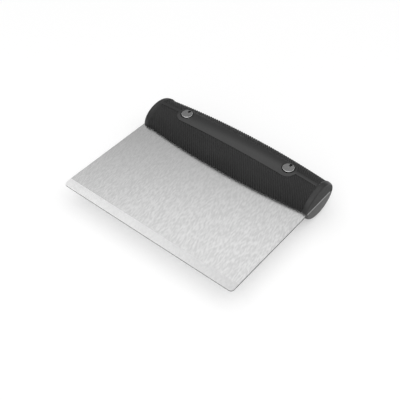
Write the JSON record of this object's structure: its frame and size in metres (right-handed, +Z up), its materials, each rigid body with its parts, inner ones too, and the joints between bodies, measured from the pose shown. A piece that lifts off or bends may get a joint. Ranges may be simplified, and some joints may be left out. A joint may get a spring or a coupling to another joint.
{
  "type": "griddle scraper",
  "caption": "Wide flat steel scraper blade clamped by binding fasteners in a black barrel-shaped two-hand grip, for scraping a griddle clean.",
  "frame": {"origin": "under the middle of the whole tool, on the plane that the lower grip half touches", "axes": "+X along the scraping edge to the right seen from the grip's side of the edge, +Y from the scraping edge towards the grip, +Z up, square to the blade's flat faces"},
  "size_m": [0.1524, 0.1224, 0.0315],
  "materials": {
    "blade_steel": "fine brushing along the blade's depth, satin",
    "black_plastic": "black moulded plastic, finely ribbed between smooth bands",
    "fastener_steel": "plain turned steel, dull"
  },
  "bodies": {
    "root": {"blade": "blade_steel", "upper_grip": "black_plastic", "lower_grip": "black_plastic", "barrel_nut_left": "fastener_steel", "barrel_nut_right": "fastener_steel", "screw_left": "fastener_steel", "screw_right": "fastener_steel"}
  },
  "joints": []
}
